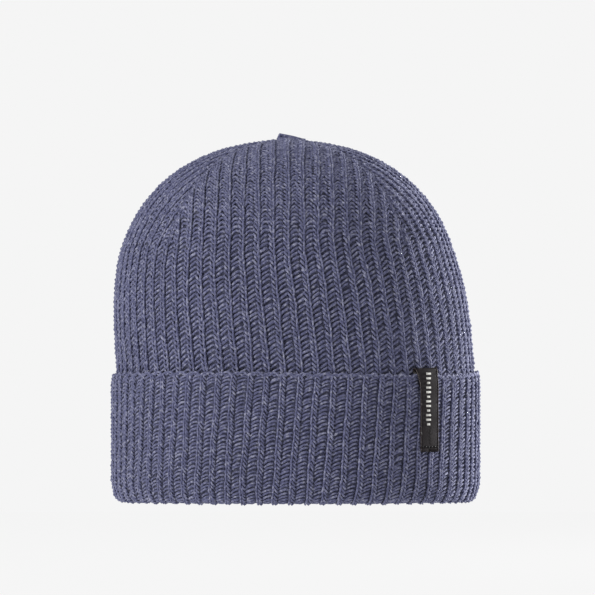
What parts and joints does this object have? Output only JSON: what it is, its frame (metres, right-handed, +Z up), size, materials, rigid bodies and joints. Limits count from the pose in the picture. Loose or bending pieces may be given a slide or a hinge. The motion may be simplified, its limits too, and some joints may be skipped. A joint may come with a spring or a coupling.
{
  "type": "knit beanie",
  "caption": "Rib-knit beanie with a turned-up cuff, a crown of gores between darts, a looped label tape and a care tag inside.",
  "frame": {"origin": "centre of the head opening, on the plane that the cuff's fold rests on", "axes": "+Z up through the crown, the wearer faces -Y, +X is the wearer's left"},
  "size_m": [0.189, 0.189, 0.19],
  "materials": {
    "rib_knit": "soft heathered wool-blend yarn, rib knit",
    "linked_seam": "linked seam in the same yarn",
    "label_satin": "woven black satin tape",
    "sewing_thread": "black polyester sewing thread",
    "tag_thread": "off-white polyester sewing thread",
    "tag_satin": "white polyester satin tape"
  },
  "bodies": {
    "crown": {"lower_wall": "rib_knit", "wall_band": "rib_knit", "front_gore": "rib_knit", "left_gore": "rib_knit", "right_gore": "rib_knit", "back_left_gore": "rib_knit", "back_right_gore": "rib_knit", "back_seam": "linked_seam", "dart_seam_front_left": "linked_seam", "dart_seam_back_left": "linked_seam", "dart_seam_back_right": "linked_seam", "dart_seam_front_right": "linked_seam", "crown_tip": "rib_knit", "tag_stitching": "tag_thread"},
    "cuff": {"cuff_band": "rib_knit", "cuff_seam": "linked_seam", "cuff_fold": "rib_knit", "cuff_edge": "rib_knit", "label_tape": "label_satin", "label_stitching": "sewing_thread"},
    "care_tag": {"care_tag": "tag_satin"}
  },
  "joints": [
    {"name": "cuff_turn_down", "type": "slide", "parent": "crown", "child": "cuff", "axis": [0, 0, -1], "range_m": [0, 0.05]},
    {"name": "care_tag_flip", "type": "hinge", "parent": "crown", "child": "care_tag", "pos_m": [-0.00122, 0.08665, 0.084], "axis": [0, 0, -1], "range_deg": [0, 152]}
  ]
}
